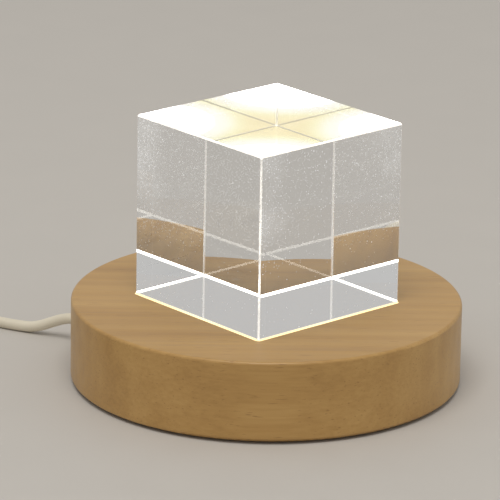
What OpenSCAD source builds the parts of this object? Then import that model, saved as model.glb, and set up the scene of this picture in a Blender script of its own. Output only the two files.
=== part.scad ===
// Clear display cube standing on a round wooden light base, with the cord that feeds the light.
// Millimetres, +Z up. The origin is the centre of the base, on the surface that it stands on.
// The cube's faces are square to X and Y, and the cord leaves the base at the back.

/* [Cube] */
// Length of the cube's side
cube_side = 50; // [44:1:56]
// Leg of the polished bevel along each edge
cube_bevel = 0.4; // [0.3:0.05:1.5]

/* [Wooden base] */
// Diameter of the turned disc
base_d = 105; // [104:1:112]
// Height from the table to the top of the disc
base_h = 22.5; // [22:0.5:30]
// Rounding of the disc's two rims
base_edge_r = 0.8; // [0.4:0.1:1.5]
// Diameter of the pocket for the wiring
pocket_d = 78; // [74:1:79]
// Diameter of the plate that closes the underside
cover_d = 90; // [88:1:92]
// Thickness of that plate
cover_t = 2; // [1.6:0.1:2.2]
// Height by which the feet stand out under the disc
foot_drop = 0.8; // [0.5:0.1:1.2]

/* [Light] */
// How far the frosted window shows beyond the cube's foot on each side
window_show = 0.4; // [0.3:0.1:1.2]
// Thickness of the window
window_t = 2.2; // [1.6:0.1:2.4]
// Diameter of the light well under the window
well_d = 40; // [36:1:42]
// Diameter of the light board
board_d = 54; // [52:1:58]
// Light chips in the outer ring
outer_leds = 12; // [8:1:16]
// Light chips in the inner ring
inner_leds = 4; // [3:1:5]

/* [Cord] */
// Diameter of the cord
cord_d = 3; // [2.6:0.1:3]
// Distance between neighbouring turns and layers of the coil
coil_pitch = 3.6; // [3.5:0.05:4]
// Radius of the coil's outermost turn, at the middle of the cord
coil_r = 22.5; // [21:0.5:23]
// Turns of the coil, counted over all its layers
coil_turns = 11.25; // [9.25:1:11.25]

/* [Switch] */
// Length of the switch in the cord
switch_l = 32; // [32:1:34]
// Width of the switch
switch_w = 13; // [12.5:0.5:13.5]
// Height of the switch
switch_h = 10; // [9.6:0.2:11]
// Tilt of the rocker to either side of level
rocker_tilt = 8; // [5:1:9]

/* [Plug] */
// Width of the plug's grip
grip_w = 16; // [14:0.5:16]
// Height of the plug's grip
grip_h = 8; // [7.5:0.5:9]
// Length of the plug's grip
grip_l = 22; // [18:1:24]

/* [Hidden] */
$fn = 96;
fit_gap = 0.1;
through = 1;

// Heights in the base, from the table up
cover_top = foot_drop + cover_t;
board_t = 1.6;
ceiling_z = 13.5;
window_side = cube_side + 2 * window_show;
window_corner_r = 1.2;
seat_z = base_h - window_t;
spigot_h = 0.8;
base_r = base_d / 2;
pocket_r = pocket_d / 2;

// Fasteners and feet of the base
cover_screw_r = 42;
cover_screw_count = 4;
cover_screw_d = 2.6;
cover_screw_l = 9;
cover_head_d = 5;
cover_head_h = 1.2;
board_screw_r = 23.5;
board_screw_count = 3;
board_screw_d = 2;
board_screw_l = 6.5;
board_head_d = 4;
board_head_h = 1.3;
foot_d = 10;
foot_r = 33;
foot_count = 4;
foot_sink = 1;
rib_h = 1.5;
rib_t = 1.6;
notch_w = 8;

// Light chips
led_l = 3.5;
led_w = 2.8;
led_h = 0.7;
phosphor_d = 2.3;
phosphor_h = 0.15;
outer_led_r = 13.5;
inner_led_r = 4.5;
resistor = [3.2, 1.6, 0.6];
resistor_r = 9;
resistor_count = 4;

// Where the cord goes through the wall of the base
cord_angle = 111;
cord_z = 6.2;
cord_inner_r = 31;
cord_straight_r = 59;
bore_d = cord_d + 2 * fit_gap;
grommet_d = 5;
flange_d = 9;
flange_t = 1.5;
nose_l = 6;
nose_d = 6.4;
nose_tip_d = 4.6;
bead_d = 6.4;
bead_t = 1.5;
lead_d = 1.2;

// The switch's place and inner heights
switch_at = [-80, 89];
switch_axis_z = 4.5;
switch_cavity = [20, 10, 7];
switch_floor = 1.4;
switch_plan_r = 5;
switch_edge_r = 2;
pin_d = 1.6;
pin_l = 11.4;
pivot_z = 7.2;
rocker_w = 6.2;
rocker_reach = 6.2;
rocker_gap = 0.3;
leaf_t = 0.3;
leaf_z = 4.9;
terminal = [3.2, 5];
terminal_x = 7;
switch_screw_at = [11.6, 4];
switch_screw_d = 1.8;
switch_screw_l = 6;
screw_spare = 0.8;
switch_head_d = 3.2;
switch_head_h = 1;
switch_head_sink = 0.2;
wire_hole_d = 1.2;
wire_hole_z = 2;

// The coil's place and its turns
coil_at = [-116, 66.5];
coil_start = 90;
coil_layers = 4;
coil_lift = 0.7;
coil_steps = 24;
layer_turns = coil_turns / coil_layers;
coil_low = coil_lift + cord_d / 2;
coil_high = coil_low + (coil_layers - 1) * coil_pitch;
coil_end = coil_start + 360 * coil_turns;
coil_in_r = coil_r - layer_turns * coil_pitch;
tie_t = 0.6;
tie_w = 6;

// The plug's place; its metal shell has the usual outer size of a 5 V plug
plug_at = [-112.5, 19.2];
plug_turn = 49;
plug_axis_z = grip_h / 2;
relief_l = 9;
relief_d = 6;
relief_tip_d = 4.4;
plug_bore_l = 13;
shell_w = 12;
shell_h = 4.5;
shell_t = 0.3;
shell_l = 19;
shell_sunk = 8;
tongue_h = 1.9;
contact_t = 0.2;

// Routes of the cord where it isn't coiled
exit_way = [cos(cord_angle), sin(cord_angle)];
function out_at(r, z) = [r * exit_way[0], r * exit_way[1], z];
run_route = [
    out_at(cord_inner_r, cord_z), out_at(45, cord_z), out_at(cord_straight_r, cord_z),
    [-22.4, 58.4, 5.7], [-23.7, 61.7, 4.3], [-25.1, 65, 2.7], [-26.6, 68.4, 1.7], [-28.5, 72.7, 1.5],
    [-30.3, 77, 1.5], [-32.7, 81.2, 1.5], [-35.8, 84.4, 1.5], [-39.5, 86.9, 1.5], [-44, 88.5, 1.5],
    [-48.4, 89, 1.7], [-52.5, 89, 2.5], [-56.5, 89, 3.6], [-60.5, 89, 4.3], [-64.2, 89, 4.5], [-71, 89, 4.5],
];
bridge_route = [
    [-89, 89, 4.5], [-96.5, 89, 4.5], [-101, 89, 4], [-105, 89, 2.8], [-109, 89, coil_low],
    [-113, 89, coil_low],
];
tail_route = [
    [-138.5, 63.5, coil_high], [-138.5, 60, coil_high], [-138.5, 55.5, 12], [-138.5, 50.5, 9.6],
    [-138.4, 45.5, 6.7], [-138.2, 40.5, 4.1], [-137.9, 36, 2.3], [-137.5, 31.5, 1.6], [-137, 28, 1.5],
    [-136.2, 23.7, 1.5], [-132.9, 18.6, 1.5], [-127.8, 15.3, 1.7], [-123, 14.5, 2.3],
    [-118.2, 15.3, 3.2], [-115, 17, 3.8], [-112.5, 19.2, 4], [-104.6, 28.3, 4],
];
lead_route = [
    [cord_inner_r, 0.7, cord_z], [28.5, 0.7, cord_z], [25.5, 1.1, 6.6], [23, 1.8, 7.8], [21.6, 2.2, 9.4],
    [21.2, 2.4, 10.6], [21.2, 2.4, ceiling_z - board_t],
];

// Sweeping a round tube along a route
function unit(v) = v / norm(v);
function tangents(p) = let (n = len(p) - 1)
    [for (i = [0:n]) unit(p[min(i + 1, n)] - p[max(i - 1, 0)])];
function square_to(v, t) = unit(v - (v * t) * t);
function normals(t) = [
    for (i = 0, v = square_to([0.01, 0, 1], t[0]); i < len(t);
        i = i + 1, v = square_to(v, t[min(i, len(t) - 1)])) v
];
function length_of(p) = len(p) < 2 ? 0 : [for (i = [1:len(p) - 1]) norm(p[i] - p[i - 1])]
    * [for (i = [1:len(p) - 1]) 1];

module tube(route, d, sides) {
    t = tangents(route);
    n = normals(t);
    last = len(route) - 1;
    points = [
        for (i = [0:last], k = [0:sides - 1])
            let (a = 360 * (k + 0.5) / sides, b = cross(t[i], n[i]))
            route[i] + d / 2 * (cos(a) * n[i] + sin(a) * b)
    ];
    walls = [
        for (i = [0:last - 1], k = [0:sides - 1], half = [0, 1])
            let (a = i * sides + k, b = i * sides + (k + 1) % sides)
            half == 0 ? [a, a + sides, b + sides] : [a, b + sides, b]
    ];
    start_cap = [for (k = [1:sides - 2]) [0, k, k + 1]];
    end_cap = [for (k = [1:sides - 2]) [last * sides, last * sides + k + 1, last * sides + k]];
    polyhedron(points, concat(walls, start_cap, end_cap));
}

// The coil spirals in and out again, and climbs a layer in the half turn where it reverses
function swing(turn) = let (part = turn / layer_turns, layer = floor(part), way = part - layer)
    layer % 2 == 0 ? way : 1 - way;
function climb(turn) = let (n = min(max(round(turn / layer_turns), 1), coil_layers - 1))
    n - 1 + min(max((turn - n * layer_turns) * 2 + 0.5, 0), 1);
function coil_point(turn) = let (
        a = coil_start + 360 * turn,
        r = coil_r - swing(turn) * layer_turns * coil_pitch
    ) [coil_at[0] + r * cos(a), coil_at[1] + r * sin(a), coil_low + climb(turn) * coil_pitch];
coil_count = round(coil_turns * coil_steps);
function straight_end(a, way, z) = [
    coil_at[0] + coil_r * cos(a) - way * cord_d * sin(a),
    coil_at[1] + coil_r * sin(a) + way * cord_d * cos(a), z
];
coil_route = concat(
    [straight_end(coil_start, -1, coil_low)],
    [for (i = [0:coil_count]) coil_point(min(i / coil_steps, coil_turns - 0.0001))],
    [straight_end(coil_end, 1, coil_high)]
);
coil_gap = min([
    for (i = [0:len(coil_route) - 1])
        for (j = [i + coil_steps / 2:1:len(coil_route) - 1]) norm(coil_route[i] - coil_route[j])
]) - cord_d;
outer_run = length_of([for (i = [2:len(run_route) - 1]) run_route[i]]) + cord_straight_r - base_r;
echo(coil_gap_mm = coil_gap);
echo(cord_to_switch_mm = outer_run, bridge_mm = length_of(bridge_route));
echo(coil_mm = length_of(coil_route), tail_mm = length_of(tail_route));

// Shared shapes
module ring_of(count, r, first = 0) {
    for (i = [0:count - 1]) rotate([0, 0, first + 360 * i / count]) translate([r, 0, 0]) children();
}

module rounded_rectangle(l, w, r) {
    square([l - 2 * r, w], center = true);
    square([l, w - 2 * r], center = true);
    for (x = [-1, 1], y = [-1, 1]) translate([x * (l / 2 - r), y * (w / 2 - r)]) circle(r);
}

// A moulded block, rounded in plan, from the side and from the end, standing on z = 0
module moulded_block(size, plan_r, edge_r) {
    intersection() {
        linear_extrude(size[2]) rounded_rectangle(size[0], size[1], plan_r);
        translate([0, 0, size[2] / 2]) rotate([90, 0, 0])
            linear_extrude(size[1], center = true) rounded_rectangle(size[0], size[2], edge_r);
        translate([0, 0, size[2] / 2]) rotate([90, 0, 90])
            linear_extrude(size[0], center = true) rounded_rectangle(size[1], size[2], edge_r);
    }
}

// A screw with its driving slot down at z = 0 and its shank upwards
module cross_slot(d, depth) {
    for (a = [0, 90]) rotate([0, 0, a])
        translate([-d / 2, -d / 10, -through]) cube([d, d / 5, depth + through]);
}

module countersunk_screw(head_d, head_h, shank_d, l) {
    difference() {
        union() {
            cylinder(h = head_h, d1 = head_d, d2 = shank_d);
            cylinder(h = l, d = shank_d);
        }
        cross_slot(head_d * 0.55, head_h * 0.6);
    }
}

module pan_screw(head_d, head_h, shank_d, l) {
    difference() {
        union() {
            cylinder(h = head_h, d = head_d);
            cylinder(h = head_h + l, d = shank_d);
        }
        cross_slot(head_d * 0.6, head_h * 0.5);
    }
}

// Local z runs outwards along the cord where it goes through the wall
module along_cord() {
    rotate([0, 0, cord_angle]) translate([0, 0, cord_z]) rotate([0, 90, 0]) children();
}

// The cube
module bevelled_prism() {
    h = cube_side / 2;
    c = h - cube_bevel;
    linear_extrude(cube_side, center = true)
        polygon([[-c, -h], [c, -h], [h, -c], [h, c], [c, h], [-c, h], [-h, c], [-h, -c]]);
}

module acrylic_cube() {
    color([0.86, 0.93, 0.95, 0.35]) translate([0, 0, base_h + cube_side / 2]) intersection() {
        bevelled_prism();
        rotate([90, 0, 0]) bevelled_prism();
        rotate([0, 90, 0]) bevelled_prism();
    }
}

// The base and what closes it
module disc_profile() {
    e = base_edge_r;
    translate([0, foot_drop]) square([base_r - e, base_h - foot_drop]);
    translate([0, foot_drop + e]) square([base_r, base_h - foot_drop - 2 * e]);
    for (z = [foot_drop + e, base_h - e]) translate([base_r - e, z]) circle(e);
}

module wood_base() {
    color([0.80, 0.63, 0.40]) difference() {
        rotate_extrude() disc_profile();
        translate([0, 0, seat_z]) linear_extrude(base_h) window_plan(fit_gap);
        cylinder(h = base_h, d = well_d);
        translate([0, 0, -through]) cylinder(h = ceiling_z + through, d = pocket_d);
        translate([0, 0, -through]) cylinder(h = cover_top + through, d = cover_d + 4 * fit_gap);
        along_cord() cylinder(h = base_r + through, d = grommet_d + fit_gap);
        along_cord() translate([0, 0, base_r - flange_t])
            cylinder(h = flange_t + through, d = flange_d + 2 * fit_gap);
        ring_of(cover_screw_count, cover_screw_r, 45)
            cylinder(h = foot_drop + cover_screw_l + through, d = cover_screw_d);
        ring_of(board_screw_count, board_screw_r, cord_angle + 60)
            cylinder(h = ceiling_z - board_t + board_screw_l + screw_spare / 2, d = board_screw_d);
    }
}

// A square plate, flush with the disc's top, with a round spigot that centres it in the light well
module window_plan(grow) {
    side = window_side + 2 * grow;
    rounded_rectangle(side, side, window_corner_r + grow);
}

module light_window() {
    color([0.97, 0.95, 0.88]) union() {
        translate([0, 0, seat_z]) linear_extrude(window_t) window_plan(0);
        translate([0, 0, seat_z - spigot_h]) cylinder(h = spigot_h + window_t / 2, d = well_d - 2 * fit_gap);
    }
}

module base_cover() {
    color([0.12, 0.12, 0.12]) difference() {
        union() {
            translate([0, 0, foot_drop]) cylinder(h = cover_t, d = cover_d);
            translate([0, 0, cover_top]) difference() {
                cylinder(h = rib_h, r = pocket_r - 4 * fit_gap);
                translate([0, 0, -through])
                    cylinder(h = rib_h + 2 * through, r = pocket_r - 4 * fit_gap - rib_t);
                rotate([0, 0, cord_angle]) translate([pocket_r, 0, rib_h / 2])
                    cube([pocket_r, notch_w, 2 * rib_h], center = true);
            }
        }
        ring_of(cover_screw_count, cover_screw_r, 45) {
            translate([0, 0, foot_drop]) cylinder(h = cover_head_h, d1 = cover_head_d, d2 = cover_screw_d);
            cylinder(h = cover_top + through, d = cover_screw_d);
        }
        ring_of(foot_count, foot_r) cylinder(h = foot_drop + foot_sink, d = foot_d + 2 * fit_gap);
    }
}

module cover_screws() {
    color([0.62, 0.62, 0.64]) ring_of(cover_screw_count, cover_screw_r, 45)
        translate([0, 0, foot_drop])
            countersunk_screw(cover_head_d, cover_head_h, cover_screw_d, cover_screw_l);
}

module rubber_feet() {
    edge = 0.4;
    r = foot_d / 2;
    h = foot_drop + foot_sink;
    color([0.2, 0.2, 0.2]) ring_of(foot_count, foot_r) rotate_extrude()
        polygon([[0, 0], [r - edge, 0], [r, edge], [r, h], [0, h]]);
}

// The light source
module led_board() {
    color([0.93, 0.94, 0.92]) translate([0, 0, ceiling_z - board_t]) difference() {
        cylinder(h = board_t, d = board_d);
        ring_of(board_screw_count, board_screw_r, cord_angle + 60)
            translate([0, 0, -through]) cylinder(h = board_t + 2 * through, d = board_screw_d + 2 * fit_gap);
    }
}

module at_leds() {
    ring_of(outer_leds, outer_led_r) children();
    ring_of(inner_leds, inner_led_r, 45) children();
}

module led_chips() {
    color([0.96, 0.96, 0.93]) translate([0, 0, ceiling_z]) at_leds()
        translate([-led_w / 2, -led_l / 2, 0]) cube([led_w, led_l, led_h]);
}

module led_phosphors() {
    color([0.95, 0.85, 0.35]) translate([0, 0, ceiling_z + led_h]) at_leds()
        cylinder(h = phosphor_h, d = phosphor_d);
}

module board_resistors() {
    color([0.1, 0.1, 0.1]) translate([0, 0, ceiling_z]) ring_of(resistor_count, resistor_r, 15)
        translate([-resistor[1] / 2, -resistor[0] / 2, 0]) cube([resistor[1], resistor[0], resistor[2]]);
}

module board_screws() {
    color([0.7, 0.7, 0.72]) ring_of(board_screw_count, board_screw_r, cord_angle + 60)
        translate([0, 0, ceiling_z - board_t - board_head_h])
            pan_screw(board_head_d, board_head_h, board_screw_d, board_screw_l);
}

module lead(side) {
    rotate([0, 0, cord_angle]) tube([for (p = lead_route) [p[0], side * p[1], p[2]]], lead_d, 8);
}

module lead_red() { color([0.75, 0.1, 0.08]) lead(1); }

module lead_black() { color([0.08, 0.08, 0.08]) lead(-1); }

// Where the cord goes through the wall
module cord_grommet() {
    wall_r = pocket_r - 2 * fit_gap;
    color([0.86, 0.82, 0.72]) along_cord() rotate_extrude() polygon([
        [bore_d / 2, wall_r - bead_t], [bead_d / 2, wall_r - bead_t], [bead_d / 2, wall_r],
        [grommet_d / 2, wall_r], [grommet_d / 2, base_r - flange_t], [flange_d / 2, base_r - flange_t],
        [flange_d / 2, base_r], [nose_d / 2, base_r], [nose_tip_d / 2, base_r + nose_l],
        [bore_d / 2, base_r + nose_l],
    ]);
}

module cord_stop_tie() {
    tie_r = 34;
    band_w = 2.5;
    head = [3.4, 4, 3];
    color([0.9, 0.9, 0.88]) along_cord() translate([0, 0, tie_r - band_w / 2]) difference() {
        union() {
            cylinder(h = band_w, d = cord_d + 2.2);
            translate([-cord_d / 2 - head[0], -head[1] / 2, -(head[2] - band_w) / 2]) cube(head);
        }
        translate([0, 0, -through]) cylinder(h = band_w + 2 * through, d = bore_d);
    }
}

// The cord
module cord_run() { color([0.88, 0.84, 0.74]) tube(run_route, cord_d, 8); }

module cord_bridge() { color([0.88, 0.84, 0.74]) tube(bridge_route, cord_d, 8); }

module cord_coil() { color([0.88, 0.84, 0.74]) tube(coil_route, cord_d, 6); }

module cord_tail() { color([0.88, 0.84, 0.74]) tube(tail_route, cord_d, 8); }

module coil_tie() {
    inner = [coil_r - coil_in_r + cord_d + 1.2, coil_high + cord_d / 2 - tie_t + 0.5];
    middle_r = (coil_r + coil_in_r) / 2 - 0.1;
    color([0.15, 0.15, 0.15]) translate([coil_at[0], coil_at[1] - middle_r, inner[1] / 2 + tie_t])
        rotate([90, 0, 90]) linear_extrude(tie_w, center = true) difference() {
            rounded_rectangle(inner[0] + 2 * tie_t, inner[1] + 2 * tie_t, 1.6);
            rounded_rectangle(inner[0], inner[1], 1);
        }
}

// The switch in the cord
module at_switch() { translate([switch_at[0], switch_at[1], 0]) children(); }

module switch_half(z0, z1) {
    seat = switch_head_sink + switch_head_h;
    difference() {
        intersection() {
            moulded_block([switch_l, switch_w, switch_h], switch_plan_r, switch_edge_r);
            translate([-switch_l, -switch_w, z0]) cube([2 * switch_l, 2 * switch_w, z1 - z0]);
        }
        translate([-switch_cavity[0] / 2, -switch_cavity[1] / 2, switch_floor]) cube(switch_cavity);
        translate([-switch_l, 0, switch_axis_z]) rotate([0, 90, 0]) cylinder(h = 2 * switch_l, d = bore_d);
        for (s = [-1, 1]) translate([s * switch_screw_at[0], s * switch_screw_at[1], -through]) {
            cylinder(h = seat + switch_screw_l + screw_spare + through, d = switch_screw_d);
            cylinder(h = seat + through, d = switch_head_d + 2 * fit_gap);
        }
        children();
    }
}

module switch_lower_shell() {
    color([0.90, 0.88, 0.82]) at_switch() switch_half(0, switch_axis_z);
}

module switch_upper_shell() {
    opening = [2 * (rocker_reach + rocker_gap), rocker_w + 2 * rocker_gap];
    color([0.90, 0.88, 0.82]) at_switch() switch_half(switch_axis_z, switch_h) {
        translate([-opening[0] / 2, -opening[1] / 2, switch_h / 2])
            cube([opening[0], opening[1], switch_h]);
        translate([0, 0, pivot_z]) rotate([90, 0, 0]) cylinder(h = pin_l, d = pin_d, center = true);
    }
}

// Seen from the side, with the pivot at the origin: a paddle with a shallow valley, a hub and a cam
module rocker_outline() {
    low = 1;
    valley = 3;
    crest = 3.7;
    hub_r = 1.7;
    cam_x = 2.8;
    cam_w = 1.4;
    cam_low = -1.3;
    past = rocker_reach + through;
    difference() {
        union() {
            intersection() {
                circle(rocker_reach);
                polygon([[-past, low], [past, low], [past, crest], [0, valley], [-past, crest]]);
            }
            circle(hub_r);
            translate([cam_x, cam_low]) square([cam_w, low - cam_low + 0.5]);
        }
        circle(d = pin_d + fit_gap);
    }
}

module switch_rocker() {
    color([0.82, 0.80, 0.74]) at_switch() translate([0, 0, pivot_z]) rotate([90, rocker_tilt, 0])
        linear_extrude(rocker_w, center = true) rocker_outline();
}

module rocker_pin() {
    color([0.7, 0.7, 0.72]) at_switch() translate([0, 0, pivot_z]) rotate([90, 0, 0])
        cylinder(h = pin_l - fit_gap, d = pin_d, center = true);
}

module switch_terminals() {
    color([0.80, 0.62, 0.30]) at_switch() for (s = [-1, 1]) difference() {
        translate([s * terminal_x - terminal[0] / 2, -terminal[1] / 2, switch_floor])
            cube([terminal[0], terminal[1], leaf_z - switch_floor]);
        translate([s * terminal_x, 0, switch_floor + wire_hole_z]) rotate([0, 90, 0])
            cylinder(h = 2 * terminal[0], d = wire_hole_d, center = true);
    }
}

module switch_leaf() {
    reach = terminal_x + terminal[0] / 2;
    leaf_w = 3.6;
    color([0.76, 0.50, 0.28]) at_switch() translate([-reach, -leaf_w / 2, leaf_z])
        cube([2 * reach, leaf_w, leaf_t]);
}

module switch_screws() {
    color([0.7, 0.7, 0.72]) at_switch() for (s = [-1, 1])
        translate([s * switch_screw_at[0], s * switch_screw_at[1], switch_head_sink])
            pan_screw(switch_head_d, switch_head_h, switch_screw_d, switch_screw_l);
}

// The plug: local x runs from the cord's end to the tip, local z is up from the plug's axis
module at_plug() {
    translate([plug_at[0], plug_at[1], plug_axis_z]) rotate([0, 0, plug_turn]) children();
}

module plug_grip() {
    thumb_depth = 0.5;
    plan_r = 3;
    edge_r = 1.6;
    relief_root = 3;
    color([0.90, 0.88, 0.82]) at_plug() difference() {
        union() {
            translate([relief_l + grip_l / 2, 0, -grip_h / 2])
                moulded_block([grip_l, grip_w, grip_h], plan_r, edge_r);
            rotate([0, 90, 0]) cylinder(h = relief_l + relief_root, d1 = relief_tip_d, d2 = relief_d);
        }
        translate([-through, 0, 0]) rotate([0, 90, 0]) cylinder(h = plug_bore_l + through, d = bore_d);
        translate([relief_l + grip_l - shell_sunk, -shell_w / 2, -shell_h / 2])
            cube([shell_sunk + through, shell_w, shell_h]);
        for (x = [6:2.4:13.2], z = [-1, 1])
            translate([relief_l + x, -grip_w / 4, z * grip_h / 2 - thumb_depth])
                cube([1, grip_w / 2, 2 * thumb_depth]);
    }
}

module at_shell() {
    at_plug() translate([relief_l + grip_l - shell_sunk, 0, 0]) children();
}

module plug_shell() {
    l = shell_sunk + shell_l;
    window = 2.4;
    window_y = 2.9;
    window_back = 8;
    color([0.78, 0.78, 0.80]) at_shell() difference() {
        translate([0, -shell_w / 2, -shell_h / 2]) cube([l, shell_w, shell_h]);
        translate([-through, -shell_w / 2 + shell_t, -shell_h / 2 + shell_t])
            cube([l + 2 * through, shell_w - 2 * shell_t, shell_h - 2 * shell_t]);
        for (s = [-1, 1])
            translate([l - window_back, s * window_y - window / 2, -shell_h])
                cube([window, window, 2 * shell_h]);
    }
}

module plug_tongue() {
    l = shell_sunk + shell_l - 0.5;
    w = shell_w - 2 * shell_t;
    color([0.93, 0.93, 0.92]) at_shell()
        translate([0, -w / 2, shell_h / 2 - shell_t - tongue_h]) cube([l, w, tongue_h]);
}

module plug_contacts() {
    end = shell_sunk + shell_l - 1.5;
    color([0.85, 0.68, 0.35]) at_shell() for (k = [-1.5:1:1.5]) {
        l = abs(k) > 1 ? 8 : 7;
        y = k * (abs(k) > 1 ? 7 / 3 : 2);
        translate([end - l, y - 0.5, shell_h / 2 - shell_t - tongue_h - contact_t])
            cube([l, 1, contact_t]);
    }
}

acrylic_cube();
wood_base();
light_window();
led_board();
led_chips();
led_phosphors();
board_resistors();
board_screws();
lead_red();
lead_black();
base_cover();
cover_screws();
rubber_feet();
cord_grommet();
cord_stop_tie();
cord_run();
switch_lower_shell();
switch_upper_shell();
switch_rocker();
rocker_pin();
switch_terminals();
switch_leaf();
switch_screws();
cord_bridge();
cord_coil();
cord_tail();
coil_tie();
plug_grip();
plug_shell();
plug_tongue();
plug_contacts();
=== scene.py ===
"""Looks for the lit display cube: polished block, honey wood base, warm light from below, cream cord."""

import math

import bmesh
import bpy
from mathutils import Matrix, Quaternion, Vector


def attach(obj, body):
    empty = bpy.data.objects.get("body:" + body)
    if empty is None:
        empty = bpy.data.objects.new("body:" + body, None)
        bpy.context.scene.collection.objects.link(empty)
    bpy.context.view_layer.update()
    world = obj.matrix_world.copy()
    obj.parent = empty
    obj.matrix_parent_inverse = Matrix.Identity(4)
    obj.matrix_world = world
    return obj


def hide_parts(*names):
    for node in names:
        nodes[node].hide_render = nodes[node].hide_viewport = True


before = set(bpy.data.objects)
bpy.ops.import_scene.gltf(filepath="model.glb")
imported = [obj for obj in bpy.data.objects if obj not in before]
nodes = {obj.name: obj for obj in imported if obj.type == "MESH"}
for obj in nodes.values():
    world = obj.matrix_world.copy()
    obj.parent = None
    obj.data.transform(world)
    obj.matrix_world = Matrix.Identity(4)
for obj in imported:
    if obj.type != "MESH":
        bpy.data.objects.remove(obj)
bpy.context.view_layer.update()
MM = 0.001

# Sizes that the looks share with the solids, in millimetres
CUBE_SIDE = 50.0
CUBE_BEVEL = 0.4
BASE_TOP = 22.5
CUBE_TOP = BASE_TOP + CUBE_SIDE
WELL_R = 20.0
CORD_D = 3.0
CORD_Z = 6.2
CORD_ANGLE = math.radians(111)
COIL_AT = (-116.0, 66.5)
COIL_R = 22.5
COIL_PITCH = 3.6
COIL_TURNS = 11.25
COIL_LAYERS = 4
COIL_LOW = 2.2
COIL_HIGH = COIL_LOW + (COIL_LAYERS - 1) * COIL_PITCH
LAYER_TURNS = COIL_TURNS / COIL_LAYERS
PLUG_AT = Vector((-112.5, 19.2, 4.0))
PLUG_TURN = math.radians(49)
PLUG_WAY = Vector((math.cos(PLUG_TURN), math.sin(PLUG_TURN), 0))
PIVOT = Vector((-80.0, 89.0, 7.2))
ROCKER_TILT = math.radians(8)
ROCKER_TOP = 3.0
VALLEY_RISE = 0.7
VALLEY_HALF = 7.2

# Sizes that only the looks have, in millimetres: the block's hair of air, the marks and the plug's rings
CUBE_LIFT = 0.05
MARK_X = 4.1
MARK_R = 1.15
MARK_HOLE_R = 0.75
MARK_HALF_LINE = 0.2
MARK_LIFT = 0.05
RIB_COUNT = 5
RIB_SIZES = {"First": 1.2, "Last": 7.6, "Start Radius": 2.36, "End Radius": 2.8, "Rib": 0.34}

# Strength of the light that the window gives off above its well, and of the painted glow of its spill, the
# bevels and the dust
WELL_GLOW = 6.0
RIM_GLOW = 0.93
PLATE_GLOW = 0.77
FOOT_GLOW = 0.62
SLANT_GLOW = 3.5
EDGE_GLOW = 0.85
DUST_GLOW = 0.32
# Share of the plate's glow that its frost adds, and shares of the foot bevels' painted glow: where dimmest, and
# looked through
FROST_SHARE = 0.06
FOOT_STREAK_SHARE = 0.8
FOOT_THROUGH_SHARE = 0.35
# Shares of the edges' painted glow: near the top, added round the top face, from inside, added on the slant as
# painted reflection, in painted glints
EDGE_TOP_SHARE = 0.75
EDGE_RIM_SHARE = 0.6
EDGE_INNER_SHARE = 0.32
EDGE_SLANT_SHARE = 0.11
EDGE_GLINT = (0.7, 1.15)
# Heights over which the edges' painted glow dims, and where the bevels round the top face start to get their
# painted rim of glow
EDGE_DIMS = (BASE_TOP, CUBE_TOP - 1)
RIM_STARTS = (CUBE_TOP - 0.7, CUBE_TOP - 0.5)
# How slanted a bevel is seen, from 0 straight on to 1 along its face
LOOKED_THROUGH = (0.16, 0.2)
SHINE_STARTS = (0.18, 0.22)
SHINE_ENDS = (0.6, 0.68)

# Rings on the lit plate, in millimetres from its middle: bright core, painted spill of light, change of colour
# towards the yellow painted spill
CORE_RING = (WELL_R - 5, WELL_R - 1.5)
SPILL_RING = (WELL_R - 2, WELL_R + 7)
TINT_RING = (WELL_R - 3, WELL_R + 9)
PLATE_TINTS = (
    (0.0, (1.0, 0.97, 0.90)),
    (0.36, (1.0, 0.975, 0.82)),
    (0.67, (1.0, 0.93, 0.42)),
    (0.85, (1.0, 0.835, 0.30)),
    (1.0, (1.0, 0.815, 0.29)),
)

# Share of dust round the block, from its right corner over the front one to its left corner
DUST_ROUND = (
    (0.0, 0.8), (0.12, 0.5), (0.25, 0.32), (0.4, 0.6), (0.47, 1.0), (0.5, 1.0),
    (0.51, 0.45), (0.6, 0.3), (0.75, 0.35), (0.88, 0.7), (0.95, 1.0),
)
# Where the dust thickens with height, where it stops below the top face, and where the front faces end
DUST_RISES = (40.0, 54.0)
DUST_STOPS = (CUBE_TOP - 0.4, CUBE_TOP - 0.2)
FRONT_ENDS = (0.1 - CUBE_SIDE / 2, 0.5 - CUBE_SIDE / 2)
# Shares of dust low down and on the back faces
DUST_LOW_SHARE = 0.03
DUST_BACK_SHARE = 0.25
# The dust at which a haze begins, and how clear the thickest haze leaves a face
HAZE_FROM = 0.4
HAZE_CLEAR = 0.78
# Two sorts of specks: cells to a metre, size in a cell, and how clear a speck leaves the face
DUST_SPECKS = ((1300, 0.2, 0.25), (2400, 0.3, 0.55))

# The line between the switch's two shells, painted as a dark line of shade, in millimetres
SEAM_Z = 4.5
SEAM_HALF = 0.06
SEAM_SOFT = 0.1

GRAIN_TURN = math.radians(41)
CREAM = (0.71, 0.655, 0.53)
# Most values of a noise texture lie in this range
NOISE = (0.3, 0.7)
UNIT = (0.0, 1.0)


def out_at(radius):
    """A point on the straight piece of the cord that goes through the base's wall."""
    return (radius * math.cos(CORD_ANGLE), radius * math.sin(CORD_ANGLE), CORD_Z)


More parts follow.
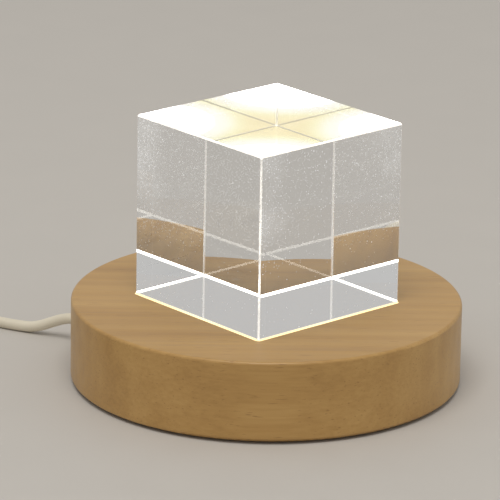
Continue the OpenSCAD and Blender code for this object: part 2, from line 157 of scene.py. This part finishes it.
RUN_ROUTE = [
    out_at(31), out_at(45), out_at(59),
    (-22.4, 58.4, 5.7), (-23.7, 61.7, 4.3), (-25.1, 65, 2.7), (-26.6, 68.4, 1.7), (-28.5, 72.7, 1.5),
    (-30.3, 77, 1.5), (-32.7, 81.2, 1.5), (-35.8, 84.4, 1.5), (-39.5, 86.9, 1.5), (-44, 88.5, 1.5),
    (-48.4, 89, 1.7), (-52.5, 89, 2.5), (-56.5, 89, 3.6), (-60.5, 89, 4.3), (-64.2, 89, 4.5), (-71, 89, 4.5),
]
BRIDGE_ROUTE = [
    (-89, 89, 4.5), (-96.5, 89, 4.5), (-101, 89, 4), (-105, 89, 2.8), (-109, 89, COIL_LOW),
]
TAIL_ROUTE = [
    (-138.5, 60, COIL_HIGH), (-138.5, 55.5, 12), (-138.5, 50.5, 9.6), (-138.4, 45.5, 6.7),
    (-138.2, 40.5, 4.1), (-137.9, 36, 2.3), (-137.5, 31.5, 1.6), (-137, 28, 1.5), (-136.2, 23.7, 1.5),
    (-132.9, 18.6, 1.5), (-127.8, 15.3, 1.7), (-123, 14.5, 2.3), (-118.2, 15.3, 3.2), (-115, 17, 3.8),
    (-112.5, 19.2, 4), (-104.6, 28.3, 4),
]


def metres(lengths):
    """Lengths that are given in millimetres."""
    return tuple(length * MM for length in lengths)


# Materials
class Paint:
    """A node material being built: its Principled surface and short ways to add and join nodes."""

    def __init__(self, name):
        self.material = bpy.data.materials.new(name)
        self.material.use_nodes = True
        self.tree = self.material.node_tree
        self.surface = self.tree.nodes["Principled BSDF"]
        self.place = self.add("ShaderNodeTexCoord").outputs["Object"]

    def add(self, kind, **settings):
        node = self.tree.nodes.new(kind)
        for key, value in settings.items():
            setattr(node, key, value)
        return node

    def join(self, source, target):
        self.tree.links.new(source, target)

    def give(self, source, name):
        """Joins a value or colour to an input of the surface."""
        self.join(source, self.surface.inputs[name])

    def put(self, **values):
        """Sets fixed values of the surface."""
        for key, value in values.items():
            self.surface.inputs[key.replace("_", " ")].default_value = value

    def mapped(self, source=None, scale=(1, 1, 1), turn=(0, 0, 0), shift=(0, 0, 0)):
        """The place, or another vector, scaled, then turned, then shifted."""
        node = self.add("ShaderNodeMapping")
        node.inputs["Scale"].default_value = scale
        node.inputs["Rotation"].default_value = turn
        node.inputs["Location"].default_value = shift
        self.join(source or self.place, node.inputs["Vector"])
        return node.outputs["Vector"]

    def parts(self, vector):
        node = self.add("ShaderNodeSeparateXYZ")
        self.join(vector, node.inputs["Vector"])
        return node.outputs["X"], node.outputs["Y"], node.outputs["Z"]

    def reach(self):
        """How far the place is from the upright axis."""
        node = self.add("ShaderNodeVectorMath", operation="LENGTH")
        self.join(self.mapped(scale=(1, 1, 0)), node.inputs[0])
        return node.outputs["Value"]

    def both(self, operation, first, second):
        node = self.add("ShaderNodeMath", operation=operation)
        self.join(first, node.inputs[0])
        self.join(second, node.inputs[1])
        return node.outputs["Value"]

    def product(self, *values):
        result = values[0]
        for value in values[1:]:
            result = self.both("MULTIPLY", result, value)
        return result

    def sum(self, first, second, share=1.0):
        """The first value and a share of the second."""
        node = self.add("ShaderNodeMath", operation="MULTIPLY_ADD")
        self.join(second, node.inputs[0])
        node.inputs[1].default_value = share
        self.join(first, node.inputs[2])
        return node.outputs["Value"]

    def span(self, value, given, wanted):
        """A value's given range turned into the wanted one, and held at its ends."""
        node = self.add("ShaderNodeMapRange")
        names = ("From Min", "From Max", "To Min", "To Max")
        for name, number in zip(names, (*given, *wanted)):
            node.inputs[name].default_value = number
        self.join(value, node.inputs["Value"])
        return node.outputs["Result"]

    def noise(self, vector, scale, detail=3.0, rough=0.55):
        node = self.add("ShaderNodeTexNoise")
        node.inputs["Scale"].default_value = scale
        node.inputs["Detail"].default_value = detail
        node.inputs["Roughness"].default_value = rough
        self.join(vector, node.inputs["Vector"])
        return node.outputs["Fac"]

    def ramp(self, value, stops):
        node = self.add("ShaderNodeValToRGB")
        elements = node.color_ramp.elements
        while len(elements) < len(stops):
            elements.new(0.5)
        for element, (at, colour) in zip(elements, stops):
            element.position = at
            element.color = (*colour, 1)
        self.join(value, node.inputs["Fac"])
        return node.outputs["Color"]

    def blend(self, share, colour, other):
        """A colour that turns into another, fixed one where the share is 1."""
        node = self.add("ShaderNodeMix", data_type="RGBA")
        self.join(share, node.inputs["Factor"])
        self.join(colour, node.inputs["A"])
        node.inputs["B"].default_value = (*other, 1)
        return node.outputs["Result"]

    def slant(self):
        """How slanted a face is seen, from 0 straight on to 1 along it."""
        return self.add("ShaderNodeLayerWeight").outputs["Facing"]

    def inside(self):
        """1 where a face is seen from inside the block, else 0."""
        return self.add("ShaderNodeNewGeometry").outputs["Backfacing"]

    def shine_inside(self, strength):
        """Strength of a painted reflection where a bevel is seen on the slant from inside the block, else none.
        """
        slant = self.slant()
        starts = self.span(slant, SHINE_STARTS, (0, strength))
        ends = self.span(slant, SHINE_ENDS, (1, 0))
        return self.product(starts, ends, self.inside())

    def relief(self, height, strength, depth):
        node = self.add("ShaderNodeBump")
        node.inputs["Strength"].default_value = strength
        node.inputs["Distance"].default_value = depth
        self.join(height, node.inputs["Height"])
        self.give(node.outputs["Normal"], "Normal")


def shade(colour, factor):
    return tuple(min(1.0, c * factor) for c in colour)


def moulded(name, colour, rough, grain=900, depth=0.00003, drift=0.06, seam=None):
    """A moulded or painted finish with a slow drift of tone and gloss and a fine grained skin.

    A seam, where its height is given, is a dark line round the piece: painted shade of the gap at the seam.
    """
    paint = Paint(name)
    slow = paint.noise(paint.place, scale=60, detail=2)
    fine = paint.noise(paint.place, scale=grain, detail=4)
    tone = paint.sum(slow, fine, share=0.25)
    skin = paint.ramp(tone, [(0.35, shade(colour, 1 - drift)), (0.8, shade(colour, 1 + drift))])
    if seam:
        # Painted shade in the gap at the seam: a darker line at its height
        off_seam = paint.parts(paint.mapped(shift=(0, 0, -seam * MM)))[2]
        edges = [length ** 2 for length in metres((SEAM_HALF, SEAM_SOFT))]
        gap_shade = paint.span(paint.product(off_seam, off_seam), edges, (1, 0))
        skin = paint.blend(gap_shade, skin, shade(colour, 0.3))
    paint.give(skin, "Base Color")
    paint.give(paint.span(slow, NOISE, (rough - 0.05, rough + 0.05)), "Roughness")
    paint.relief(fine, strength=0.35, depth=depth)
    return paint.material


def brushed(name, colour, rough, turn=0.0):
    """A metal with fine drawn lines along X, or along X turned about the upright axis."""
    paint = Paint(name)
    drawn = paint.mapped(paint.mapped(turn=(0, 0, -turn)), scale=(0.04, 1, 1))
    lines = paint.noise(drawn, scale=2600, detail=3)
    paint.give(paint.ramp(lines, [(0.3, shade(colour, 0.94)), (0.7, shade(colour, 1.03))]), "Base Color")
    paint.give(paint.span(lines, NOISE, (rough - 0.04, rough + 0.05)), "Roughness")
    paint.relief(lines, strength=0.15, depth=0.00001)
    paint.put(Metallic=1.0)
    return paint.material


def turned_wood():
    """Golden-brown wood: long streaks, fibres and short pores along the grain, under a satin lacquer."""
    paint = Paint("turned_wood")
    board = paint.mapped(turn=(0, 0, GRAIN_TURN))
    streaks = paint.noise(paint.mapped(board, scale=(0.05, 1, 0.5)), scale=170, detail=3, rough=0.5)
    fibre = paint.noise(paint.mapped(board, scale=(0.025, 1, 1)), scale=1100, detail=4, rough=0.6)
    cloud = paint.noise(paint.mapped(board, scale=(0.2, 1, 1)), scale=45, detail=2)
    pores = paint.noise(paint.mapped(board, scale=(0.06, 1, 1)), scale=2400, detail=1)
    tone = paint.sum(paint.span(fibre, UNIT, (0.1, 0.5)), streaks, share=0.55)
    tone = paint.sum(tone, cloud, share=0.35)
    stops = [
        (0.45, (0.335, 0.178, 0.045)),
        (0.72, (0.455, 0.262, 0.078)),
        (0.95, (0.54, 0.33, 0.112)),
        (1.0, (0.60, 0.385, 0.145)),
    ]
    dark = paint.span(pores, (0.66, 0.74), (0, 0.5))
    paint.give(paint.blend(dark, paint.ramp(tone, stops), (0.22, 0.105, 0.028)), "Base Color")
    paint.give(paint.span(fibre, NOISE, (0.36, 0.5)), "Roughness")
    paint.relief(paint.sum(fibre, dark, share=-0.6), strength=0.35, depth=0.00004)
    paint.put(Coat_Weight=0.2, Coat_Roughness=0.22)
    return paint.material


def polished_acrylic():
    """Clear block with a dust of tiny specks on its sides, thicker high up and at its corners. The dust and its
    haze give off a painted glow.
    """
    paint = Paint("polished_acrylic")
    x, y, z = paint.parts(paint.place)
    round_it = paint.span(paint.both("SUBTRACT", y, x), metres((-CUBE_SIDE, CUBE_SIDE)), UNIT)
    settled = paint.parts(paint.ramp(round_it, [(at, (share,) * 3) for at, share in DUST_ROUND]))[0]
    drifts = paint.span(paint.noise(paint.place, scale=70, detail=3), (0.35, 0.65), (0.45, 1.0))
    high = paint.span(z, metres(DUST_RISES), (DUST_LOW_SHARE, 1.0))
    wiped = paint.span(z, metres(DUST_STOPS), (1.0, 0.0))
    front = paint.span(paint.both("MINIMUM", x, y), metres(FRONT_ENDS), (1.0, DUST_BACK_SHARE))
    dusty = paint.product(settled, drifts, high, wiped, front)
    clear = paint.span(dusty, (HAZE_FROM, 1.0), (1.0, HAZE_CLEAR))
    for scale, size, left_clear in DUST_SPECKS:
        specks = paint.add("ShaderNodeTexVoronoi")
        specks.inputs["Scale"].default_value = scale
        paint.join(paint.place, specks.inputs["Vector"])
        lot = paint.both("LESS_THAN", paint.parts(specks.outputs["Color"])[0], dusty)
        dot = paint.both("LESS_THAN", specks.outputs["Distance"], paint.span(lot, UNIT, (0, size)))
        clear = paint.product(clear, paint.span(dot, UNIT, (1.0, left_clear)))
    paint.give(clear, "Transmission Weight")
    # Painted glow where the dust and haze lie
    paint.give(paint.span(clear, UNIT, (DUST_GLOW, 0)), "Emission Strength")
    paint.put(Base_Color=(0.955, 0.972, 0.995, 1), Roughness=0.0, IOR=1.5)
    paint.put(Emission_Color=(0.93, 0.96, 1.0, 1))
    return paint.material


def low_bevel():
    """The polished bevels round the foot of the block, with a painted glow and a painted reflection: bright
    from the side, dull when looked through.
    """
    paint = Paint("low_bevel")
    streaks = paint.noise(paint.place, scale=800, detail=3)
    paint.give(paint.span(streaks, NOISE, (0.0, 0.05)), "Roughness")
    dull = paint.span(paint.slant(), LOOKED_THROUGH, (FOOT_THROUGH_SHARE, 1.0))
    steady = paint.product(dull, paint.span(streaks, NOISE, (FOOT_GLOW * FOOT_STREAK_SHARE, FOOT_GLOW)))
    # Painted glow, with a painted reflection of the lit plate on the slant from inside
    paint.give(paint.sum(steady, paint.shine_inside(SLANT_GLOW)), "Emission Strength")
    paint.put(Base_Color=(0.06, 0.058, 0.052, 1), IOR=1.62, Transmission_Weight=1.0)
    paint.put(Emission_Color=(1.0, 0.95, 0.84, 1))
    return paint.material


def edge_bevel():
    """The ground bevels of the other edges, with a painted glow that stands for the light inside the block."""
    paint = Paint("edge_bevel")
    streaks = paint.noise(paint.place, scale=800, detail=3)
    paint.give(paint.span(streaks, NOISE, (0.22, 0.42)), "Roughness")
    z = paint.parts(paint.place)[2]
    # Painted glow: brighter low down, a painted rim round the top face, painted glints, weaker seen from inside
    glow = paint.span(z, metres(EDGE_DIMS), (EDGE_GLOW, EDGE_GLOW * EDGE_TOP_SHARE))
    rim = paint.span(z, metres(RIM_STARTS), (0, EDGE_GLOW * EDGE_RIM_SHARE))
    glint = paint.span(streaks, NOISE, EDGE_GLINT)
    outward = paint.span(paint.inside(), UNIT, (1.0, EDGE_INNER_SHARE))
    steady = paint.product(paint.sum(glow, rim), glint, outward)
    paint.give(paint.sum(steady, paint.shine_inside(EDGE_GLOW * EDGE_SLANT_SHARE)), "Emission Strength")
    paint.put(Base_Color=(0.97, 0.97, 0.96, 1), IOR=1.5, Transmission_Weight=0.9)
    paint.put(Emission_Color=(1.0, 0.96, 0.88, 1))
    return paint.material


def frosted_window():
    """The glowing plate: brightest above the light well, fading to an even, painted glow of spilled light
    towards its corners.
    """
    paint = Paint("frosted_window")
    reach = paint.reach()
    frost = paint.noise(paint.place, scale=1500, detail=3)
    # Past the light well the plate's glow is painted spill of light
    spill = paint.span(reach, metres(SPILL_RING), (RIM_GLOW, PLATE_GLOW))
    core = paint.span(reach, metres(CORE_RING), (WELL_GLOW, 0))
    glow = paint.sum(paint.sum(spill, core), frost, share=PLATE_GLOW * FROST_SHARE)
    paint.give(glow, "Emission Strength")
    # The painted spill turns yellow towards the corners
    paint.give(paint.ramp(paint.span(reach, metres(TINT_RING), UNIT), PLATE_TINTS), "Emission Color")
    paint.relief(frost, strength=0.3, depth=0.00003)
    paint.put(Base_Color=(0.86, 0.80, 0.68, 1), Roughness=0.6)
    return paint.material


def lit_phosphor():
    paint = Paint("lit_phosphor")
    grains = paint.noise(paint.place, scale=4000, detail=2)
    paint.give(paint.ramp(grains, [(0.3, (0.75, 0.55, 0.08)), (0.7, (0.9, 0.72, 0.2))]), "Base Color")
    paint.put(Roughness=0.4, Emission_Color=(1.0, 0.86, 0.60, 1), Emission_Strength=3.0)
    return paint.material


FINISHES = {
    "wood_base": turned_wood(),
    "light_window": frosted_window(),
    "led_phosphors": lit_phosphor(),
    "led_board": moulded("solder_mask", (0.82, 0.83, 0.80), 0.35),
    "led_chips": moulded("chip_body", (0.85, 0.84, 0.79), 0.4),
    "board_resistors": moulded("resistor_body", (0.03, 0.03, 0.032), 0.4),
    "lead_red": moulded("red_lead", (0.50, 0.03, 0.02), 0.4),
    "lead_black": moulded("black_lead", (0.02, 0.02, 0.022), 0.4),
    "base_cover": moulded("black_cover", (0.028, 0.028, 0.03), 0.55, grain=1800, depth=0.00006),
    "rubber_feet": moulded("foot_rubber", (0.045, 0.045, 0.045), 0.8, grain=1400),
    "cord_stop_tie": moulded("nylon_tie", (0.74, 0.74, 0.70), 0.45),
    "cord_grommet": moulded("cord_grommet", CREAM, 0.5),
    "switch_lower_shell": moulded("switch_shell", shade(CREAM, 1.06), 0.42, seam=SEAM_Z),
    "switch_rocker": moulded("rocker_cap", shade(CREAM, 0.92), 0.34),
    "plug_grip": moulded("plug_grip", shade(CREAM, 1.06), 0.46),
    "plug_tongue": moulded("plug_tongue", (0.78, 0.78, 0.76), 0.4),
    "coil_tie": moulded("tie_fabric", (0.03, 0.03, 0.032), 0.9, grain=2600, depth=0.0002),
    "cover_screws": brushed("screw_steel", (0.55, 0.55, 0.56), 0.32),
    "switch_terminals": brushed("terminal_brass", (0.72, 0.52, 0.22), 0.3),
    "switch_leaf": brushed("leaf_bronze", (0.62, 0.38, 0.2), 0.3),
    "plug_shell": brushed("plug_steel", (0.70, 0.70, 0.71), 0.2, PLUG_TURN),
}
SAME_FINISH = {
    "switch_upper_shell": "switch_lower_shell",
    "board_screws": "cover_screws",
    "rocker_pin": "cover_screws",
    "switch_screws": "cover_screws",
    "plug_contacts": "switch_terminals",
}
for name, finish in FINISHES.items():
    nodes[name].material_slots[0].material = finish
for name, like in SAME_FINISH.items():
    nodes[name].material_slots[0].material = FINISHES[like]


# Pieces
def placed(name, data):
    """A new object in the scene, at the origin."""
    piece = bpy.data.objects.new(name, data)
    bpy.context.scene.collection.objects.link(piece)
    return piece


def keep_mesh(name, mesh_maker, materials):
    """A mesh object made in a bmesh by mesh_maker, with its faces pointing outwards."""
    mesh = bpy.data.meshes.new(name)
    work = bmesh.new()
    mesh_maker(work)
    bmesh.ops.recalc_face_normals(work, faces=work.faces)
    work.to_mesh(mesh)
    work.free()
    for material in materials:
        mesh.materials.append(material)
    return placed(name, mesh)


def cube_mesh(work):
    """The block: polished faces, ground bevels and corners in the second material, foot bevels in the third."""
    middle = Matrix.Translation((0, 0, (BASE_TOP + CUBE_LIFT + CUBE_SIDE / 2) * MM))
    bmesh.ops.create_cube(work, size=CUBE_SIDE * MM, matrix=middle)
    made = bmesh.ops.bevel(
        work, geom=work.edges[:], offset=CUBE_BEVEL * MM, offset_type="OFFSET", segments=1, affect="EDGES"
    )
    low = (BASE_TOP + CUBE_LIFT + CUBE_BEVEL) * MM
    for face in made["faces"]:
        at_foot = len(face.verts) == 4 and face.calc_center_median().z < low
        face.material_index = 2 if at_foot else 1


clear_cube = keep_mesh("clear_cube", cube_mesh, [polished_acrylic(), edge_bevel(), low_bevel()])
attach(clear_cube, "cube")
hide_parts("acrylic_cube")


# Cords
def smooth(points, steps=5):
    """More points on the smooth line that goes through these ones."""
    ends = [2 * points[0] - points[1], *points, 2 * points[-1] - points[-2]]
    line = []
    for a, b, c, d in zip(ends, ends[1:], ends[2:], ends[3:]):
        for k in range(steps):
            t = k / steps
            square = (2 * a - 5 * b + 4 * c - d) * t ** 2
            cubic = (3 * b - a - 3 * c + d) * t ** 3
            line.append(0.5 * (2 * b + (c - a) * t + square + cubic))
    return [*line, points[-1]]


def swing(turn):
    """How far the coil has wound inwards in its layer, from 0 to 1, and out again in the next one."""
    layer, way = divmod(turn / LAYER_TURNS, 1)
    return way if layer % 2 == 0 else 1 - way


def climb(turn):
    """The layer that the coil is in, with half a turn to rise from one to the next."""
    n = min(max(round(turn / LAYER_TURNS), 1), COIL_LAYERS - 1)
    return n - 1 + min(max((turn - n * LAYER_TURNS) * 2 + 0.5, 0), 1)


def coil_point(turn):
    angle = math.radians(90) + math.tau * turn
    radius = COIL_R - swing(turn) * LAYER_TURNS * COIL_PITCH
    height = COIL_LOW + climb(turn) * COIL_PITCH
    return Vector((COIL_AT[0] + radius * math.cos(angle), COIL_AT[1] + radius * math.sin(angle), height))


def coil_line(steps=24):
    count = round(COIL_TURNS * steps)
    return [coil_point(min(i / steps, COIL_TURNS - 0.0001)) for i in range(count + 1)]


def cord_piece(name, line, material):
    curve = bpy.data.curves.new(name, "CURVE")
    curve.dimensions = "3D"
    curve.bevel_depth = CORD_D / 2 * MM
    curve.bevel_resolution = 4
    curve.use_fill_caps = True
    spline = curve.splines.new("POLY")
    spline.points.add(len(line) - 1)
    for point, place in zip(spline.points, line):
        point.co = (*(place * MM), 1)
    spline.use_smooth = True
    curve.materials.append(material)
    return placed(name, curve)


cord_finish = moulded("cord_jacket", CREAM, 0.48, grain=1200, depth=0.00002, drift=0.04)
run_line = smooth([Vector(p) for p in RUN_ROUTE])
cord_to_switch = cord_piece("cord_to_switch", run_line, cord_finish)
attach(cord_to_switch, "base")
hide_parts("cord_run")

feed_points = [Vector(p) for p in BRIDGE_ROUTE] + coil_line() + [Vector(p) for p in TAIL_ROUTE]
feed_line = smooth(feed_points, 3)
cord_to_plug = cord_piece("cord_to_plug", feed_line, cord_finish)
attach(cord_to_plug, "base")
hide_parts("cord_bridge", "cord_coil", "cord_tail")


# Small trim
def relief_ribs():
    """Rings on the plug's strain relief, set along its axis by a node tree and growing with the cone."""
    tree = bpy.data.node_groups.new("relief_ribs", "GeometryNodeTree")
    tree.interface.new_socket("Geometry", in_out="OUTPUT", socket_type="NodeSocketGeometry")
    sockets = {
        key: tree.interface.new_socket(key, in_out="INPUT", socket_type="NodeSocketFloat") for key in RIB_SIZES
    }
    count = tree.interface.new_socket("Count", in_out="INPUT", socket_type="NodeSocketInt")
    add = tree.nodes.new
    join = tree.links.new
    given = add("NodeGroupInput").outputs
    line = add("GeometryNodeMeshLine")
    line.mode = "END_POINTS"
    start = add("ShaderNodeCombineXYZ")
    end = add("ShaderNodeCombineXYZ")
    join(given["First"], start.inputs["X"])
    join(given["Last"], end.inputs["X"])
    join(given["Count"], line.inputs["Count"])
    join(start.outputs["Vector"], line.inputs["Start Location"])
    join(end.outputs["Vector"], line.inputs["Offset"])
    ring = add("GeometryNodeCurvePrimitiveCircle")
    ring.inputs["Resolution"].default_value = 40
    ring.inputs["Radius"].default_value = 1.0
    section = add("GeometryNodeCurvePrimitiveCircle")
    section.inputs["Resolution"].default_value = 10
    slim = add("ShaderNodeMath")
    slim.operation = "DIVIDE"
    join(given["Rib"], slim.inputs[0])
    join(given["Start Radius"], slim.inputs[1])
    join(slim.outputs["Value"], section.inputs["Radius"])
    hoop = add("GeometryNodeCurveToMesh")
    join(ring.outputs["Curve"], hoop.inputs["Curve"])
    join(section.outputs["Curve"], hoop.inputs["Profile Curve"])
    place = add("GeometryNodeInputPosition")
    parts = add("ShaderNodeSeparateXYZ")
    join(place.outputs["Position"], parts.inputs["Vector"])
    grow = add("ShaderNodeMapRange")
    join(parts.outputs["X"], grow.inputs["Value"])
    join(given["First"], grow.inputs["From Min"])
    join(given["Last"], grow.inputs["From Max"])
    join(given["Start Radius"], grow.inputs["To Min"])
    join(given["End Radius"], grow.inputs["To Max"])
    spread = add("GeometryNodeInstanceOnPoints")
    join(line.outputs["Mesh"], spread.inputs["Points"])
    join(hoop.outputs["Mesh"], spread.inputs["Instance"])
    spread.inputs["Rotation"].default_value = (0, math.radians(90), 0)
    join(grow.outputs["Result"], spread.inputs["Scale"])
    real = add("GeometryNodeRealizeInstances")
    join(spread.outputs["Instances"], real.inputs["Geometry"])
    colour = add("GeometryNodeSetMaterial")
    colour.inputs["Material"].default_value = FINISHES["plug_grip"]
    join(real.outputs["Geometry"], colour.inputs["Geometry"])
    join(colour.outputs["Geometry"], add("NodeGroupOutput").inputs["Geometry"])

    carrier = placed("rib_carrier", bpy.data.meshes.new("rib_carrier"))
    modifier = carrier.modifiers.new("ribs", "NODES")
    modifier.node_group = tree
    for key, value in RIB_SIZES.items():
        modifier[sockets[key].identifier] = value
    modifier[count.identifier] = RIB_COUNT
    evaluated = carrier.evaluated_get(bpy.context.evaluated_depsgraph_get())
    mesh = bpy.data.meshes.new_from_object(evaluated)
    bpy.data.objects.remove(carrier)
    turn = PLUG_WAY.to_track_quat("X", "Z").to_matrix().to_4x4()
    mesh.transform(Matrix.Scale(MM, 4) @ Matrix.Translation(PLUG_AT) @ turn)
    for face in mesh.polygons:
        face.use_smooth = True
    return placed("relief_ribs", mesh)


ribs = relief_ribs()
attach(ribs, "base")


def on_rocker(x, y, lift):
    """A point on the rocker's top: along it, across it and above its shallow valley."""
    height = ROCKER_TOP + VALLEY_RISE / VALLEY_HALF * abs(x) + lift
    return (PIVOT + Quaternion((0, 1, 0), ROCKER_TILT) @ Vector((x, y, height))) * MM


def ring_outline(x0, radius, count=32):
    angles = [math.tau * i / count for i in range(count)]
    return [(x0 + radius * math.cos(angle), radius * math.sin(angle)) for angle in angles]


def strip(work, first, second):
    """Faces between two closed rows of corners."""
    for i, j in enumerate([*range(1, len(first)), 0]):
        work.faces.new((first[i], first[j], second[j], second[i]))


def raised(work, *outlines):
    """A thin raised mark within an outline, or between an outline and its hole."""
    rows = [
        [[work.verts.new(on_rocker(x, y, lift)) for x, y in outline] for lift in (MARK_LIFT, -MARK_LIFT)]
        for outline in outlines
    ]
    for upper, lower in rows:
        strip(work, upper, lower)
    for level in zip(*rows):
        if len(level) == 1:
            work.faces.new(level[0])
        else:
            strip(work, *level)


def off_mark(work):
    raised(work, ring_outline(-MARK_X, MARK_R), ring_outline(-MARK_X, MARK_HOLE_R))


def on_mark(work):
    corners = ((-1, -1), (1, -1), (1, 1), (-1, 1))
    raised(work, [(MARK_X + along * MARK_HALF_LINE, across * MARK_R) for along, across in corners])


mark_paint = moulded("mark_paint", (0.16, 0.15, 0.13), 0.5)
for name, maker in (("rocker_mark_off", off_mark), ("rocker_mark_on", on_mark)):
    mark = keep_mesh(name, maker, [mark_paint])
    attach(mark, "rocker")


# Stage, light and camera
def floor_mesh(work):
    bmesh.ops.create_grid(work, x_segments=1, y_segments=1, size=6.0)


def aim(thing, place, target, roll=0.0):
    """Puts a lamp or camera at a place, turned to a target and rolled about its view."""
    thing.location = place
    thing.rotation_mode = "QUATERNION"
    level = (Vector(target) - Vector(place)).to_track_quat("-Z", "Y")
    thing.rotation_quaternion = level @ Quaternion((0, 0, 1), roll)


floor_paint = moulded("pale_floor", (0.53, 0.505, 0.47), 0.7, grain=8, drift=0.01)
floor = keep_mesh("floor", floor_mesh, [floor_paint])

world = bpy.data.worlds.new("studio")
bpy.context.scene.world = world
world.use_nodes = True
sky = world.node_tree.nodes["Background"]
sky.inputs["Color"].default_value = (1.0, 0.98, 0.945, 1)
sky.inputs["Strength"].default_value = 0.55

softbox = bpy.data.lights.new("key", "AREA")
softbox.shape = "SQUARE"
softbox.size = 0.9
softbox.energy = 11.0
softbox.color = (1.0, 0.975, 0.94)
aim(placed("key", softbox), place=(-0.4, -0.3, 1.5), target=(0, 0, 0.03))

camera_data = bpy.data.cameras.new("photo_camera")
camera_data.lens = 315.6
camera_data.sensor_width = 36.0
camera_data.clip_end = 50.0
camera = placed("photo_camera", camera_data)
aim(camera, (-0.7441, -0.8303, 0.3991), (-0.0008, 0.0061, 0.0346), math.radians(0.91))
bpy.context.scene.camera = camera
bpy.context.scene.view_settings.view_transform = "Standard"
